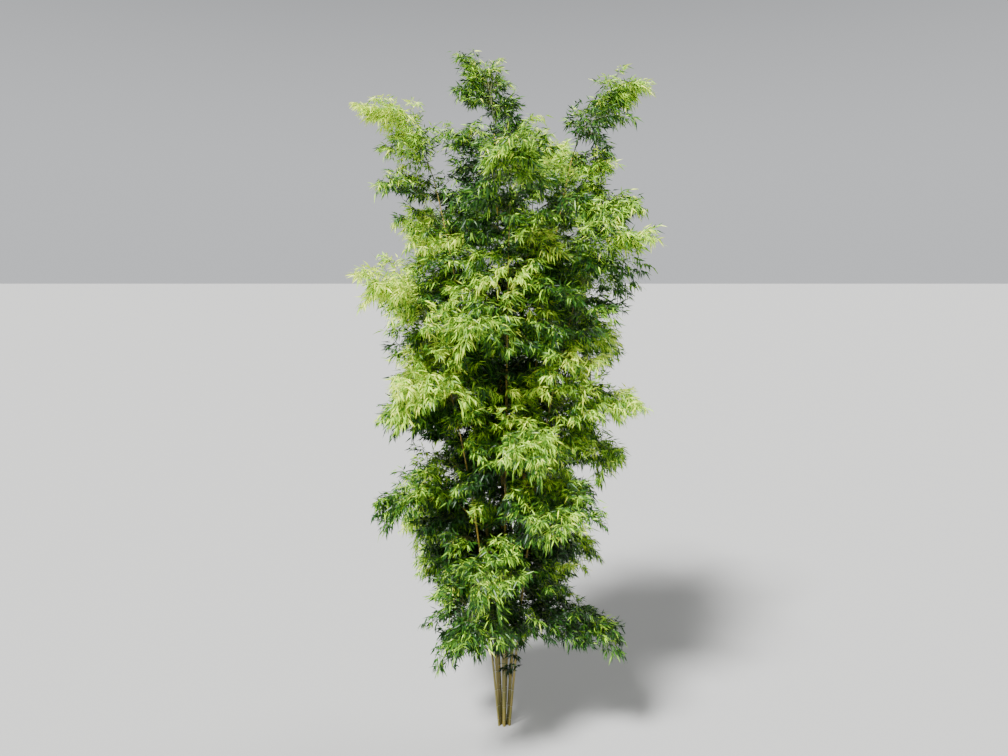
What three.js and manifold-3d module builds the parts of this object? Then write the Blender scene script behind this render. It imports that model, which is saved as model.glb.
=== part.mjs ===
// A clump of golden bamboo rooted in level ground: eight jointed culms that stand foot to foot and fan out,
// their boughs, and the masses of twigs and narrow leaves that cascade from them. Millimetres and degrees.
// +Z is up, the origin is the middle of the main culm's foot, on the ground, and the clump's front faces -Y.
import * as THREE from "three";
import { mergeVertices } from "three/addons/utils/BufferGeometryUtils.js";
import Module from "manifold-3d";

const wasm = await Module();
wasm.setup();

// Driving dimensions
const SEED = 11;
const SEAT_GAP = 0.3; // between a piece and what carries it
const FOOT_FLARE = 1.14; // the foot's radius, as a share of the culm's
const FLARE_HEIGHT = 45;
const TIP_SHARE = 0.26; // the culm's radius where its leader starts, as a share of its own above the flare
const TAPER_POWER = 1.7;
const NOD_POWER = 2.2; // a culm is nearly straight low down and bends most near its tip
const FIRST_INTERNODE = 78;
const LONG_INTERNODE = 225; // near a quarter of the culm's length
const RIDGE_SWELL = 1.13; // a node's ridge, as a share of the culm's radius
const RIDGE_HALF = 9; // from the ridge to the plain wall above and below it
const RIDGED_BELOW = 800; // the bare foot of the clump, where every node shows
const LOWEST_MASS = 900; // the lowest place on a culm that carries a mass
const TIER = 1130; // from one mass to the next along a culm
const TIERS_APART = 3 / 7; // how much higher each culm's masses start than the last culm's, in tiers
const BOUGHS_PER_CULM = 2; // the lowest masses of a culm hang on a bough, and the rest on their own stem
const BOUGH_SWING = [14, 34]; // from the culm's bearing to the bough's
const LENGTH_LOST = 0.35; // how much shorter a bough and stem would be at the culm's tip, as a share
const TURN_ON = 15; // by how much a bough in another limb's way turns round its culm
const LIMB_SPACING = 45; // the least distance between the middle lines of two culms' limbs
const CLEARANCE_SAMPLES = 12;

// Limbs: the tilt is from the vertical where the limb starts, and the nod is what its tip adds.
const BOUGH = { radius: 6.5, tipShare: 0.72, length: 240, tilt: 32, nod: 8, steps: 2, sides: 5 };
const STEM = { radius: 6.5, tipShare: 0.62, length: 720, tilt: 34, nod: 62, steps: 4, sides: 3, twigs: 5 };
const LEADER = { radius: 6, tipShare: 0.66, length: 740, nod: 46, steps: 4, sides: 3, twigs: 6 };
const TWIG = { radius: 2.6, tipShare: 0.75, length: 320, steps: 1, sides: 3 };
const TWIG_SWING = [40, 100]; // from the stem's bearing to the twig's
const RISING_TILT = [24, 52]; // twigs rise and hang in turn
const HANGING_TILT = [98, 130];
const FIRST_TWIG = { onBough: 0.12, onCulm: 0.28 }; // where a stem's twigs begin, by what carries it
const LAST_TWIG = 0.88;

const LEAVES_PER_FAN = 4;
const LEAF = { length: 380, width: 78, keel: 9, sag: 0.1, widest: 0.26, sizes: [1, 0.84, 0.7] };
const FAN = { first: 0.97, apart: 0.15, opening: 24, widening: 17, drooping: 9, least: 92 };
const LEAF_DROOP = [0, 30];
const LEAF_SWING = 10;
const LEAF_TWIST = 28;
const CENTRE_AT = 0.7; // a mass's centre, along its stem
const CENTRE_DROP = 60;
const SPACE_MARGIN = 2; // what a mass keeps from the border of its space
const LIMB_CLEARANCE = 4; // what a twig or leaf keeps from a limb that doesn't carry it
const CULM_SIDES = 7;
const CULM_STEPS = 24;

// Each culm's foot touches the foot of the culm that it stands by, at the side's bearing from it.
// The lean is the culm's tilt at its foot, towards its own bearing, and the nod is what its tip adds.
const CULMS = [
  { name: "main", radius: 18, length: 5700, bearing: 105, lean: 1, nod: 8, bareTo: 3000 },
  { name: "right", by: "main", side: 12, radius: 16.5, length: 5460, bearing: 8, lean: 3, nod: 10 },
  { name: "back", by: "main", side: 79, radius: 15, length: 5120, bearing: 64, lean: 3.6, nod: 11 },
  { name: "rear_left", by: "back", side: 152, radius: 13, length: 4480, bearing: 124, lean: 4.6, nod: 13 },
  { name: "left", by: "main", side: 178, radius: 16, length: 5250, bearing: 178, lean: 3.3, nod: 10 },
  { name: "outer_left", by: "left", side: 250, radius: 11, length: 3900, bearing: 222, lean: 6.5, nod: 13 },
  { name: "front", by: "main", side: 272, radius: 14, length: 4820, bearing: 274, lean: 3.2, nod: 12 },
  { name: "outer_right", by: "right", side: 300, radius: 12, length: 4180, bearing: 320, lean: 6, nod: 12 },
];

const rad = THREE.MathUtils.degToRad;
const level = (bearing) => new THREE.Vector3(Math.cos(rad(bearing)), Math.sin(rad(bearing)), 0);

// A repeatable number from 0 to 1 for each list of whole-number keys.
function roll(...keys) {
  const weights = [12.9898, 78.233, 37.719, 93.989];
  const mixed = keys.reduce((sum, key, i) => sum + key * weights[i], SEED);
  const wave = Math.sin(mixed) * 43758.5453;
  return wave - Math.floor(wave);
}
const spread = (low, high, ...keys) => low + (high - low) * roll(...keys);

// The middle line of a limb: it starts at a bearing and a tilt from the vertical, and nods over as it goes.
class Limb extends THREE.Curve {
  constructor({ start, bearing, tilt, nod, length, steps, power = 1 }) {
    super();
    Object.assign(this, { bearing, tilt, nod, length, steps, power });
    this.points = [start.clone()];
    for (let i = 0; i < steps; i++) {
      const heading = this.getTangent((i + 0.5) / steps);
      this.points.push(this.points[i].clone().addScaledVector(heading, length / steps));
    }
  }

  tiltAt(s) {
    return this.tilt + this.nod * s ** this.power;
  }

  getTangent(s) {
    const tilt = rad(this.tiltAt(s));
    return level(this.bearing).multiplyScalar(Math.sin(tilt)).setZ(Math.cos(tilt));
  }

  getPoint(s, target = new THREE.Vector3()) {
    const place = THREE.MathUtils.clamp(s, 0, 1) * this.steps;
    const i = Math.min(Math.floor(place), this.steps - 1);
    return target.lerpVectors(this.points[i], this.points[i + 1], place - i);
  }
}

// A cylinder bent along a limb: rings holds { s, r }, a share of the limb's length and the radius there.
function limbGeometry(limb, rings, sides, turn = 0) {
  const tube = new THREE.CylinderGeometry(1, 1, 1, sides, rings.length - 1, false, rad(turn));
  const at = tube.attributes.position;
  const across = level(limb.bearing + 90);
  for (let i = 0; i < at.count; i++) {
    const { s, r } = rings[Math.round((at.getY(i) + 0.5) * (rings.length - 1))];
    const over = new THREE.Vector3().crossVectors(across, limb.getTangent(s));
    const p = limb.getPoint(s).addScaledVector(across, at.getX(i) * r);
    p.addScaledVector(over, at.getZ(i) * r);
    at.setXYZ(i, p.x, p.y, p.z);
  }
  return tube;
}

// One ring at each of the limb's own points, so that what sits on its middle line is inside its solid.
function evenRings(kind, extra = 0) {
  return Array.from({ length: kind.steps + 1 }, (_, i) => {
    const s = i / kind.steps;
    return { s, r: kind.radius * THREE.MathUtils.lerp(1, kind.tipShare, s) + extra };
  });
}

function solidOf(geometry) {
  const bare = geometry.index ? geometry.toNonIndexed() : geometry.clone();
  bare.deleteAttribute("normal");
  bare.deleteAttribute("uv");
  const merged = mergeVertices(bare, 1e-3);
  return new wasm.Manifold(
    new wasm.Mesh({
      numProp: 3,
      vertProperties: merged.attributes.position.array,
      triVerts: new Uint32Array(merged.index.array),
    }),
  );
}

// The largest closed surface of a solid, so that a sealed hollow is filled and a loose scrap dropped.
function outerBody(solid) {
  return solid.decompose().reduce((a, b) => (b.volume() > a.volume() ? b : a));
}

function geometryOf(solid) {
  const mesh = solid.getMesh();
  const geometry = new THREE.BufferGeometry();
  geometry.setAttribute("position", new THREE.BufferAttribute(mesh.vertProperties, 3));
  geometry.setIndex(new THREE.BufferAttribute(mesh.triVerts, 1));
  geometry.computeVertexNormals();
  return geometry;
}

// Culms: where each foot stands, where its nodes are, and its rings
const feet = new Map();

// The reach of a culm's many-sided foot at a bearing: most at a corner, least between two.
function footReach(culm, bearing) {
  const step = 360 / CULM_SIDES;
  const past = THREE.MathUtils.euclideanModulo(bearing - culm.bearing - culm.turn, step);
  return (culm.radius * FOOT_FLARE * Math.cos(rad(step / 2))) / Math.cos(rad(past - step / 2));
}

function footOf(culm) {
  if (!culm.by) return new THREE.Vector3();
  const other = CULMS.find(({ name }) => name === culm.by);
  const apart = culm.radius * FOOT_FLARE + footReach(other, culm.side) + SEAT_GAP;
  return feet.get(culm.by).clone().addScaledVector(level(culm.side), apart);
}

function culmRadius(culm, s) {
  return culm.radius * (1 - (1 - TIP_SHARE) * s ** TAPER_POWER);
}

// The places of the nodes along the culm: close at the foot, widest near a quarter, close at the tip.
function nodesOf(culm) {
  const places = [];
  for (let at = FIRST_INTERNODE; at < culm.length; ) {
    places.push(at);
    const swell = Math.sin(Math.PI * Math.sqrt(at / culm.length));
    at += FIRST_INTERNODE + (LONG_INTERNODE - FIRST_INTERNODE) * swell;
  }
  return places;
}

// The nodes that carry a mass, a tier apart, and staggered from culm to culm so that no two tiers line up.
function bearingNodes(culm, order) {
  const first = (culm.bareTo ?? LOWEST_MASS) + TIER * ((order * TIERS_APART) % 1);
  const wanted = [];
  for (let at = first; at < culm.length - TIER / 2; at += TIER) wanted.push(at);
  return wanted.map((at) => culm.nodes.reduce((a, b) => (Math.abs(b - at) < Math.abs(a - at) ? b : a)));
}

function culmRings(culm) {
  const ring = (at, swell) => ({ s: at / culm.length, r: culmRadius(culm, at / culm.length) * swell });
  const rings = [ring(0, FOOT_FLARE), ring(FLARE_HEIGHT, 1)];
  const ridged = culm.nodes.filter((at) => at < RIDGED_BELOW || culm.carrying.includes(at));
  ridged.forEach((at, i) => {
    const before = ridged[i - 1] ?? 0;
    if (at - before > TIER / 2) rings.push(ring((at + before) / 2, 1));
    rings.push(ring(at - RIDGE_HALF, 1), ring(at, RIDGE_SWELL), ring(at + RIDGE_HALF, 1));
  });
  const top = ridged.at(-1);
  for (const share of [1 / 3, 2 / 3, 1]) rings.push(ring(THREE.MathUtils.lerp(top, culm.length, share), 1));
  return rings;
}

// The foot's ring is laid flat on the ground, as a level cut.
function culmGeometry(culm, clearance = 0) {
  const rings = culmRings(culm).map(({ s, r }) => ({ s, r: r + clearance }));
  const geometry = limbGeometry(culm.limb, rings, CULM_SIDES, culm.turn);
  const at = geometry.attributes.position;
  for (let i = 0; i < at.count; i++) if (Math.abs(at.getZ(i)) < FLARE_HEIGHT / 2) at.setZ(i, 0);
  return geometry;
}

for (const [order, culm] of CULMS.entries()) {
  culm.order = order;
  culm.turn = culm.by ? culm.side + 180 - culm.bearing : 0; // a corner points at the foot that it touches
  feet.set(culm.name, footOf(culm));
  culm.limb = new Limb({
    start: feet.get(culm.name),
    bearing: culm.bearing,
    tilt: culm.lean,
    nod: culm.nod,
    power: NOD_POWER,
    length: culm.length,
    steps: CULM_STEPS,
  });
  culm.nodes = nodesOf(culm);
  culm.carrying = bearingNodes(culm, order);
}

// Boughs and the stems of the masses
function growFrom(carrier, s, kind, bearing, tilt, length) {
  const { nod = 0, steps } = kind;
  return new Limb({ start: carrier.getPoint(s), bearing, tilt, nod, length, steps });
}

// A limb that carries on from the tip of another, a seat's gap beyond it.
function growOn(limb, kind, length) {
  const start = limb.getPoint(1).addScaledVector(limb.getTangent(1), SEAT_GAP);
  const { nod, steps } = kind;
  return new Limb({ start, bearing: limb.bearing, tilt: limb.tiltAt(1), nod, length, steps });
}

// The least distance between the middle lines of two limbs.
function distanceBetween(limb, other) {
  const near = new THREE.Vector3();
  let least = Infinity;
  for (let i = 0; i <= CLEARANCE_SAMPLES; i++) {
    const p = limb.getPoint(i / CLEARANCE_SAMPLES);
    for (let k = 0; k < other.steps; k++) {
      new THREE.Line3(other.points[k], other.points[k + 1]).closestPointToPoint(p, true, near);
      least = Math.min(least, near.distanceTo(p));
    }
  }
  return least;
}

// A bough or stem that would pass too close to another culm's limb turns on round its own culm instead.
const grown = CULMS.map((culm) => ({ culm, limb: culm.limb }));

function clearOf(culm, limbs) {
  const others = grown.filter((other) => other.culm !== culm);
  return limbs.every((limb) => others.every((other) => distanceBetween(limb, other.limb) > LIMB_SPACING));
}

const boughs = [];
const masses = [];

for (const culm of CULMS) {
  const leader = growOn(culm.limb, LEADER, LEADER.length);
  masses.push({ name: `${culm.name}_top_foliage`, culm, stem: leader, kind: LEADER, carried: true });
  grown.push({ culm, limb: leader });
}

for (const culm of CULMS) {
  culm.carrying.forEach((at, tier) => {
    const s = (at + RIDGE_HALF * 2) / culm.length;
    const side = (tier + culm.order) % 2 ? 1 : -1; // boughs leave a culm on one side and the other in turn
    const inner = culm.by ? 0 : 180 * tier; // the main culm fills the middle, so it branches all round
    const wanted = culm.bearing + inner + side * spread(...BOUGH_SWING, culm.order, tier, 1);
    const length = 1 - LENGTH_LOST * (at / culm.length);
    const carried = tier < BOUGHS_PER_CULM;
    for (let turn = 0; turn < 180; turn = turn > 0 ? -turn : TURN_ON - turn) {
      const bearing = wanted + side * turn;
      const bough = growFrom(culm.limb, s, BOUGH, bearing, BOUGH.tilt, BOUGH.length * length);
      const stem = carried
        ? growOn(bough, STEM, STEM.length * length)
        : growFrom(culm.limb, s, STEM, bearing, STEM.tilt, (STEM.length + BOUGH.length * 0.5) * length);
      if (!clearOf(culm, carried ? [bough, stem] : [stem])) continue;
      if (carried) boughs.push({ name: `${culm.name}_bough_${tier + 1}`, culm, limb: bough });
      masses.push({ name: `${culm.name}_foliage_${tier + 1}`, culm, stem, kind: STEM, carried });
      grown.push(...(carried ? [{ culm, limb: bough }] : []), { culm, limb: stem });
      break;
    }
  });
}

masses.forEach((mass, i) => {
  mass.key = i;
  mass.centre = mass.stem.getPoint(CENTRE_AT).add(new THREE.Vector3(0, 0, -CENTRE_DROP));
});

// A mass's space is what lies nearer to its centre than to any other mass's, less a margin.
function inSpace(mass, p) {
  return masses.every((other) => {
    if (other === mass) return true;
    const between = mass.centre.distanceTo(other.centre);
    const lead = p.distanceToSquared(other.centre) - p.distanceToSquared(mass.centre);
    return lead / (2 * between) > SPACE_MARGIN;
  });
}

// A leaf is a blade of four faces, flat across its top and keeled below, widest near its root.
const BLADE_FACES = [0, 2, 1, 3, 1, 2, 0, 1, 3, 0, 3, 2];

function leafGeometry(root, heading, turn, size) {
  const across = new THREE.Vector3(-heading.y, heading.x, 0).normalize().applyAxisAngle(heading, rad(turn));
  const over = new THREE.Vector3().crossVectors(heading, across);
  const place = (along, aside, above) => {
    const p = root.clone().addScaledVector(heading, along * LEAF.length * size);
    p.addScaledVector(across, aside * LEAF.width * size).addScaledVector(over, above * LEAF.keel);
    return p.setZ(p.z - LEAF.sag * LEAF.length * size * along ** 2);
  };
  const corners = [place(0, 0, 0), place(LEAF.widest, 0.5, 1), place(LEAF.widest, -0.5, 1), place(1, 0, 0)];
  return new THREE.BufferGeometry().setFromPoints(corners).setIndex(BLADE_FACES);
}

const cornersOf = (geometry) => {
  const at = geometry.attributes.position;
  return Array.from({ length: at.count }, (_, i) => new THREE.Vector3().fromBufferAttribute(at, i));
};

// The twigs of a mass leave its stem on one side and the other in turn, and rise and hang in turn.
function twigsOf(mass) {
  const { stem, key, kind } = mass;
  const twigs = [];
  for (let i = 0; i < kind.twigs; i++) {
    const first = mass.carried ? FIRST_TWIG.onBough : FIRST_TWIG.onCulm;
    const s = THREE.MathUtils.lerp(first, LAST_TWIG, i / (kind.twigs - 1));
    const side = (i + key) % 2 ? 1 : -1;
    const bearing = stem.bearing + side * spread(...TWIG_SWING, key, i, 2);
    const tilt = spread(...(i % 2 ? RISING_TILT : HANGING_TILT), key, i, 3);
    const length = TWIG.length * spread(0.8, 1.15, key, i, 5);
    twigs.push(growFrom(stem, s, TWIG, bearing, tilt, length));
  }
  return twigs;
}

// The leaves of one fan: the first carries the twig on, and the rest droop on one side and the other.
function fanOf(mass, limb, fan) {
  const leaves = [];
  for (let j = 0; j < LEAVES_PER_FAN; j++) {
    const s = FAN.first - FAN.apart * j;
    const side = j % 2 ? 1 : -1;
    const open = j ? side * (FAN.opening + FAN.widening * j) : 0;
    const bearing = limb.bearing + open + spread(-LEAF_SWING, LEAF_SWING, mass.key, fan, j, 6);
    const droop = FAN.drooping * j + spread(...LEAF_DROOP, mass.key, fan, j, 7);
    const tilt = Math.max(limb.tiltAt(s), FAN.least) + droop;
    const heading = level(bearing).multiplyScalar(Math.sin(rad(tilt))).setZ(Math.cos(rad(tilt)));
    const turn = spread(-LEAF_TWIST, LEAF_TWIST, mass.key, fan, j, 8);
    leaves.push({ root: limb.getPoint(s), heading, turn });
  }
  return leaves;
}

// Every limb, thickened, which no twig or leaf of a mass may touch
const culmSolids = CULMS.map((culm) => solidOf(culmGeometry(culm)));
const culmSeats = CULMS.map((culm) => solidOf(culmGeometry(culm, SEAT_GAP)));
const boughSolids = boughs.map(({ culm, limb }) =>
  solidOf(limbGeometry(limb, evenRings(BOUGH), BOUGH.sides)).subtract(culmSeats[culm.order]),
);
const guards = [
  ...CULMS.map((culm) => solidOf(culmGeometry(culm, LIMB_CLEARANCE))),
  ...boughs.map(({ limb }) => solidOf(limbGeometry(limb, evenRings(BOUGH, LIMB_CLEARANCE), BOUGH.sides))),
];
const stemGuards = masses.map(({ stem, kind }) => {
  return solidOf(limbGeometry(stem, evenRings(kind, LIMB_CLEARANCE), kind.sides));
});

function touchesLimb(solid, mass) {
  const others = [...guards, ...stemGuards.filter((_, i) => i !== mass.key)];
  return others.some((guard) => !guard.intersect(solid).isEmpty());
}

// A blade or twig is grown only where it stays in the mass's space and touches no other limb.
function fits(mass, geometry, solid) {
  return cornersOf(geometry).every((p) => inSpace(mass, p)) && !touchesLimb(solid, mass);
}

function massSolid(mass) {
  const { stem, kind, culm } = mass;
  let made = solidOf(limbGeometry(stem, evenRings(kind), kind.sides));
  if (!mass.carried) made = made.subtract(culmSeats[culm.order]);
  const blades = [];
  [stem, ...twigsOf(mass)].forEach((limb, fan) => {
    const isTwig = fan > 0;
    const twigGeometry = isTwig && limbGeometry(limb, evenRings(TWIG), TWIG.sides);
    const twig = isTwig && solidOf(twigGeometry);
    if (isTwig && !fits(mass, twigGeometry, twig)) return;
    const leaves = [];
    for (const { root, heading, turn } of fanOf(mass, limb, fan)) {
      for (const size of LEAF.sizes) {
        const geometry = leafGeometry(root, heading, turn, size);
        const blade = solidOf(geometry);
        if (!fits(mass, geometry, blade)) continue;
        if ([...blades, ...leaves].some((other) => !other.intersect(blade).isEmpty())) continue;
        leaves.push(blade);
        break;
      }
    }
    if (leaves.length === 0) return; // a twig with no room for a leaf isn't grown
    if (isTwig) made = made.add(twig);
    for (const leaf of leaves) made = made.add(leaf);
    blades.push(...leaves);
  });
  return outerBody(made);
}

const finish = {
  culm: new THREE.MeshStandardMaterial({ color: 0x9a8f45, roughness: 0.5, metalness: 0 }),
  bough: new THREE.MeshStandardMaterial({ color: 0x8a8a3c, roughness: 0.6, metalness: 0 }),
  foliage: new THREE.MeshStandardMaterial({ color: 0x6fa02f, roughness: 0.7, metalness: 0 }),
};

const clump = new THREE.Group();
function addNode(name, solid, material) {
  const mesh = new THREE.Mesh(geometryOf(solid), material);
  mesh.name = name;
  clump.add(mesh);
}

CULMS.forEach((culm, i) => addNode(`${culm.name}_culm`, culmSolids[i], finish.culm));
boughs.forEach((bough, i) => addNode(bough.name, boughSolids[i], finish.bough));
masses.forEach((mass) => addNode(mass.name, massSolid(mass), finish.foliage));

export default clump;
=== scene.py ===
"""A clump of golden bamboo, dressed over the part's solids: jointed culms and boughs with a waxy bark,
and the stems, twigs and leaves that grow on from them by the rule of the part's source. Metres and degrees.
+Z is up, the origin is the middle of the main culm's foot, on the ground, and the front faces -Y."""

import math

import bpy
import numpy as np
from bpy.props import FloatProperty, FloatVectorProperty, IntProperty, PointerProperty
from bpy.types import Operator, Panel, PropertyGroup
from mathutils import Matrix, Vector


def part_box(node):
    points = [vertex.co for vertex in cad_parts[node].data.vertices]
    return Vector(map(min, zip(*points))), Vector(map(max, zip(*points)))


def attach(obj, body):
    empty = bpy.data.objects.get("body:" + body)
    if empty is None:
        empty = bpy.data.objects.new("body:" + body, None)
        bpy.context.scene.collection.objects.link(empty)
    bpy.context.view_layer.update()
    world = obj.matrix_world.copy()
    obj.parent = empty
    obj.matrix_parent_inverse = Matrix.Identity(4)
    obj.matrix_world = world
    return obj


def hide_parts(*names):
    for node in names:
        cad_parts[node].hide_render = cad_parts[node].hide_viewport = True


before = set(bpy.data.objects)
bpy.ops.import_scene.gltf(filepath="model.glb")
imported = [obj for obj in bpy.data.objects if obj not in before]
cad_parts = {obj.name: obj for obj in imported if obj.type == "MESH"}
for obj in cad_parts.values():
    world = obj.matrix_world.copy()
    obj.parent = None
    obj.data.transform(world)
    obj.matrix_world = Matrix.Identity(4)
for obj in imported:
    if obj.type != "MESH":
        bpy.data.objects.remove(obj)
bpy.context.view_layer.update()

bl_info = {
    "name": "Golden bamboo clump",
    "version": (1, 0, 0),
    "blender": (4, 5, 0),
    "location": "View3D > Sidebar > Bamboo",
    "description": "Builds the culms, boughs and foliage of a rooted bamboo clump",
    "category": "Mesh",
}

# The source's rule: where the culms, boughs and stems stand
SEED = 11
SEAT_GAP = 0.0003
FOOT_FLARE = 1.14
FLARE_HEIGHT = 0.045
TIP_SHARE = 0.26
TAPER_POWER = 1.7
NOD_POWER = 2.2
FIRST_INTERNODE = 0.078
LONG_INTERNODE = 0.225
RIDGE_HALF = 0.009
LOWEST_MASS = 0.9  # where the masses start on a culm whose row gives no bare_to
TIER = 1.13
TIERS_APART = 3 / 7
BOUGHS_PER_CULM = 2
BOUGH_SWING = (14, 34)
LENGTH_LOST = 0.35
TURN_ON = 15
LIMB_SPACING = 0.045
CLEARANCE_SAMPLES = 12
CULM_SIDES = 7
CULM_STEPS = 24
BOUGH = dict(length=0.24, tilt=32, nod=8, steps=2)
STEM = dict(length=0.72, tilt=34, nod=62, steps=4, twigs=5, slimming=0.35)
LEADER = dict(length=0.74, tilt=0, nod=46, steps=4, twigs=6, slimming=0.72)
STEM_RADIUS = 0.0046
LEADER_GIRTH = 0.96  # a leader's radius, as a share of its culm's tip
BOUGH_SAVED = 0.5  # share of a bough's length that a stem without one gains
TWIG_LENGTH = 0.32
TWIG_SHARES = (0.8, 1.15)
TWIG_SWING = (40, 100)
RISING_TILT = (24, 52)
HANGING_TILT = (98, 130)
FIRST_TWIG = {True: 0.12, False: 0.28}
LAST_TWIG = 0.88
CENTRE_AT = 0.7
CENTRE_DROP = 0.06
CULM_ROW = ("name", "by", "side", "radius", "length", "bearing", "lean", "nod", "bare_to")
CULMS = [
    ("main", None, 0, 0.018, 5.7, 105, 1, 8, 3.0),
    ("right", "main", 12, 0.0165, 5.46, 8, 3, 10),
    ("back", "main", 79, 0.015, 5.12, 64, 3.6, 11),
    ("rear_left", "back", 152, 0.013, 4.48, 124, 4.6, 13),
    ("left", "main", 178, 0.016, 5.25, 178, 3.3, 10),
    ("outer_left", "left", 250, 0.011, 3.9, 222, 6.5, 13),
    ("front", "main", 272, 0.014, 4.82, 274, 3.2, 12),
    ("outer_right", "right", 300, 0.012, 4.18, 320, 6, 12),
]

# The poles of the culms and boughs
JOINT = [  # its rings, upwards: offset along the pole, share of its radius, bloom and scar
    (-0.014, 1, 0, 0),
    (-0.0105, 1.01, 0.8, 0),
    (-0.004, 1.05, 1, 0),
    (-0.0022, 1.13, 0.2, 1),
    (0.0008, 1.11, 0, 1),
    (0.0026, 1.03, 0, 0.8),
    (0.0058, 1.1, 0, 0),
    (0.009, 1.06, 0, 0),
    (0.014, 1, 0, 0),
]
JOINT_RADIUS = 0.016  # the radius of a pole that has a joint of those offsets
SMALLEST_JOINT = 0.5
LARGEST_JOINT = 1.1
FOOT_DEPTH = 0.006  # how far below its foot a pole starts
FOOT_SCAR = 0.3
FLARE_RING = (0.35, 0.45, 0.1)  # the ring in a foot's flare: shares of its width and height, and the scar
RING_GAP = 0.0008  # the least between two rings
TIP_GAP = 0.002  # the least between a ring and the tip
MERGE_WITHIN = 0.00002
SMOOTH_ANGLE = 50
BOUGH_NODES = (0.24, 0.52, 0.84)
BOUGH_RADIUS = 0.0058
BOUGH_TAPER = 0.2

# How the foliage grows on. A pair is from low to high, but for fade, thinning and opening.
ARCH = 16  # how much the source's twigs bend
MASS_TONE = 0.16
LATERAL = dict(
    first=0.04, rung=(0.1, 0.9), swing=(8, 85), fade=(1.1, 0.5), tilt=(-18, 34), nod=(18, 52),
    length=(0.24, 0.42), thinning=1.12, tone=0.12, steps=4,
)
LAST_LATERAL = (26, 0.2)  # the nod and length of the lateral that carries the stem on
SIDE_BRANCH = dict(
    below=0.1, last=0.985, swings=((5, 80), (35, 150), (0, 180)), shares=(0.9, 1.0, 0.8),
    tilt=(30, 55), nod=(30, 70), length=(0.42, 0.76), thinning=(1, 0.25), tone=0.2, steps=4,
)
TWIG = dict(
    swing=(18, 72), fade=(1.05, 0.5), turned=0.4, towards=74, tilt=26, thinning=(1.1, 0.4), nod=(4, 34),
    tone=0.07, steps=2,
)
LATERAL_TWIGS = dict(length=(0.10, 0.19), first=0.16, outward=1.0)
SIDE_TWIGS = dict(length=(0.12, 0.21), first=0.2, outward=0.7)
FULL_CARRIER = 0.26  # a shorter carrier bears shorter twigs
STALK = dict(
    first=0.3, swing=(16, 70), fade=(1.1, 0.7), turned=0.25, towards=92, tilt=24, length=(0.045, 0.09),
    tone=0.13,
)
LEAF = dict(
    fewest=4, most=6, droop=30, opening=(22, 11), swing=42, least_tilt=47, most_tilt=168, tilt=38, hang=4,
    apart=0.16, size=(0.72, 1.2), smaller=0.04, width=(0.85, 1.12), twist=72, tone=0.24,
)
RUNG_JITTER = 0.5
LOWEST_RUNG = 0.02

# Where the foliage may be
INNER_BARE_TO = 1.5  # below this the main culm, inside the clump, has no side branch
SLEEVE = 0.52  # how far from a culm its side branches may reach between the masses
SKIRT = (0.95, 0.72)  # the lowest that foliage hangs, at the culms' feet and from SKIRT_AT outwards
SKIRT_AT = 0.85
COMPANY_CELL = 0.1
COMPANY = 6  # the fewest twigs in and round a cell, itself counted
PARTED = 0.42  # share of its internodes along which a culm shows between its sprays, to the bearing below
SHOWN_TO = dict(front=268, outer_left=262, outer_right=279, left=250, right=292, back=80, rear_left=120)
PARTING_SWING = 16
SLOT = (0.018, 0.042)  # half the width of such a parting
SLOT_BEHIND = 0.01

# The thin limbs' radius at the foot and at the tip, and their sides
THIN_LIMBS = dict(
    laterals=(0.0022, 0.0011, 4),
    side_branches=(0.0030, 0.0013, 4),
    twigs=(0.0013, 0.0007, 3),
    leaf_stalks=(0.0009, 0.0006, 3),
)
STEM_TIP = 0.3
STEM_SIDES = 8
LARGEST_PIECE = 180000  # triangles

# A leaf's corners, as shares: along it, aside and up of its width, and down of its length as its tip sags
LEAF_OUTLINE = (
    (0, 0, 0, 0), (0.3, -0.5, 0.17, 0.014), (0.36, 0, 0, 0.021), (0.3, 0.5, 0.17, 0.014), (1, 0, 0, 0.16)
)
LEAF_FACES = ((0, 2, 3), (0, 1, 2), (2, 4, 3), (1, 4, 2))
LEAF_RIB = 2
PLAIN_OUTLINE = ((0, 0, 0, 0), (0.3, -0.5, 0.14, 0.046), (0.3, 0.5, 0.14, 0.046), (1, 0, 0, 0.16))
PLAIN_FACES = ((0, 3, 2), (0, 1, 3))

# Leaf tints, painted shade and painted sunlight: from the deep shade inside the clump to the sunlit tips, the
# palest painted bright as if lit through; and how broad their leaves are
TINTS = [
    ("leaf_shaded", (0.006, 0.027, 0.004), 1.35),
    ("leaf_deep", (0.011, 0.057, 0.005), 1.3),
    ("leaf_mid", (0.048, 0.152, 0.010), 1.12),
    ("leaf_fresh", (0.190, 0.385, 0.026), 1.0),
    ("leaf_lime", (0.470, 0.810, 0.045), 0.95),
    ("leaf_pale", (0.790, 0.970, 0.090), 0.92),
]
TINT_EDGES = (0.17, 0.35, 0.53, 0.68, 0.83)
PLAIN_TINTS = 4  # the darkest tints, whose leaves have two faces in place of four

# A spray's painted light comes from its place outwards, or in the crown, its lift in its mass and its height
LIGHT = dict(least=0.13, outward=0.42, lift=0.15, height=0.16)
OUTSIDE = 1.15
CROWN_FROM = 4.9
CROWN_DEPTH = 1.3
CROWN_MOST = 0.85
FULL_LIFT = 0.4
LIFT_MOST = 1.2
CLUMP_HEIGHT = 6.4

# The studio: where each lamp shines from and its width, and the walls' shares of the fill, low and high
LAMPS = dict(key=((-4.0, -5.5, 9.5), 13), rim=((5.5, 4.5, 6.5), 30))
WALL_COLOR = (0.95, 0.97, 1.0, 1)
WALL_HEIGHTS = (0.1, 0.62)
WALL_SHARES = (2.6, 0.5)
FLOOR_COLOR = (0.44, 0.44, 0.43)
OLIVE_TWIG = (0.065, 0.11, 0.02)
SENSOR = 36  # millimetres
FAR_CLIP = 1500


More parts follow.
